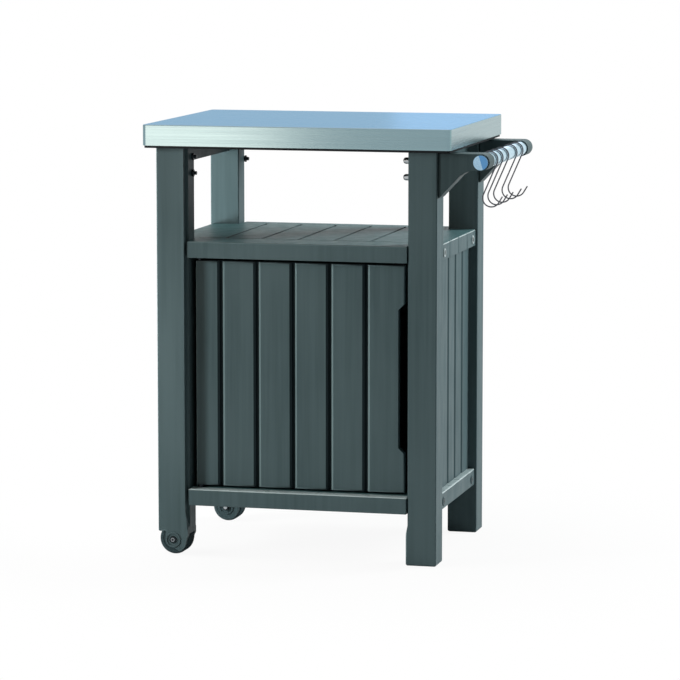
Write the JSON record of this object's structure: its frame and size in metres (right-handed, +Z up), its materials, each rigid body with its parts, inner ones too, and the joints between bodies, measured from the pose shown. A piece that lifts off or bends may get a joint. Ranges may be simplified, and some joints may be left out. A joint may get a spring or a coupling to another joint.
{
  "type": "grill cart with storage",
  "caption": "Grill cart with a sheet-metal worktop on moulded legs, an open bay and deck, a closed cabinet with a hinged door, a side rail with wire hooks, and wheels at one end.",
  "frame": {"origin": "on the floor, under the middle of the cart's bounding box", "axes": "+X towards the side rail, +Y from the door side to the back, +Z up"},
  "size_m": [0.7358, 0.52, 0.9],
  "materials": {
    "grey_resin": "satin, fine moulded grain, dark grey",
    "steel_sheet": "fine brushed",
    "black_resin": "matt black",
    "rail_metal": "fine brushed, bright",
    "cap_metal": "bright plated",
    "hook_wire": "dark, half bright",
    "wheel_plastic": "matt, slightly rough",
    "fastener": "plain zinc-grey"
  },
  "bodies": {
    "cart": {"leg_front_left": "grey_resin", "leg_rear_left": "grey_resin", "leg_front_right": "grey_resin", "leg_rear_right": "grey_resin", "upper_rail_left": "grey_resin", "upper_rail_right": "grey_resin", "mid_shelf": "grey_resin", "base_shelf": "grey_resin", "side_panel_left": "grey_resin", "side_panel_right": "grey_resin", "back_panel": "grey_resin", "rail_bracket_front": "grey_resin", "rail_bracket_rear": "grey_resin", "worktop_tray": "steel_sheet", "worktop_core": "black_resin", "door_catch": "black_resin", "rail_tube": "rail_metal", "rail_cap_front": "cap_metal", "rail_cap_rear": "cap_metal", "wheel_axle_front": "fastener", "wheel_axle_rear": "fastener", "wheel_nuts": "fastener", "leg_bolts": "fastener", "bracket_bolts": "fastener", "mid_shelf_screws": "fastener", "base_shelf_screws": "fastener"},
    "door_leaf": {"door": "grey_resin", "door_hinge_pins": "fastener"},
    "front_wheel": {"wheel_front": "wheel_plastic"},
    "rear_wheel": {"wheel_rear": "wheel_plastic"},
    "hook_1_body": {"hook_1": "hook_wire"},
    "hook_2_body": {"hook_2": "hook_wire"},
    "hook_3_body": {"hook_3": "hook_wire"},
    "hook_4_body": {"hook_4": "hook_wire"},
    "hook_5_body": {"hook_5": "hook_wire"}
  },
  "joints": [
    {"name": "door_hinge", "type": "hinge", "parent": "cart", "child": "door_leaf", "pos_m": [-0.26193, -0.202, 0.38], "axis": [0, 0, -1], "range_deg": [0, 90]},
    {"name": "wheel_front_spin", "type": "hinge", "parent": "cart", "child": "front_wheel", "pos_m": [-0.31193, -0.209, 0.0325], "axis": [0, 1, 0], "continuous": true},
    {"name": "wheel_rear_spin", "type": "hinge", "parent": "cart", "child": "rear_wheel", "pos_m": [-0.31193, 0.195, 0.0325], "axis": [0, 1, 0], "continuous": true},
    {"name": "hook_1_swing", "type": "hinge", "parent": "cart", "child": "hook_1_body", "pos_m": [0.34007, -0.15, 0.833], "axis": [0, 1, 0], "range_deg": [-50, 50]},
    {"name": "hook_2_swing", "type": "hinge", "parent": "cart", "child": "hook_2_body", "pos_m": [0.34007, -0.097, 0.833], "axis": [0, 1, 0], "range_deg": [-50, 50]},
    {"name": "hook_3_swing", "type": "hinge", "parent": "cart", "child": "hook_3_body", "pos_m": [0.34007, -0.038, 0.833], "axis": [0, 1, 0], "range_deg": [-50, 50]},
    {"name": "hook_4_swing", "type": "hinge", "parent": "cart", "child": "hook_4_body", "pos_m": [0.34007, 0.05, 0.833], "axis": [0, 1, 0], "range_deg": [-50, 50]},
    {"name": "hook_5_swing", "type": "hinge", "parent": "cart", "child": "hook_5_body", "pos_m": [0.34007, 0.115, 0.833], "axis": [0, 1, 0], "range_deg": [-50, 50]}
  ]
}
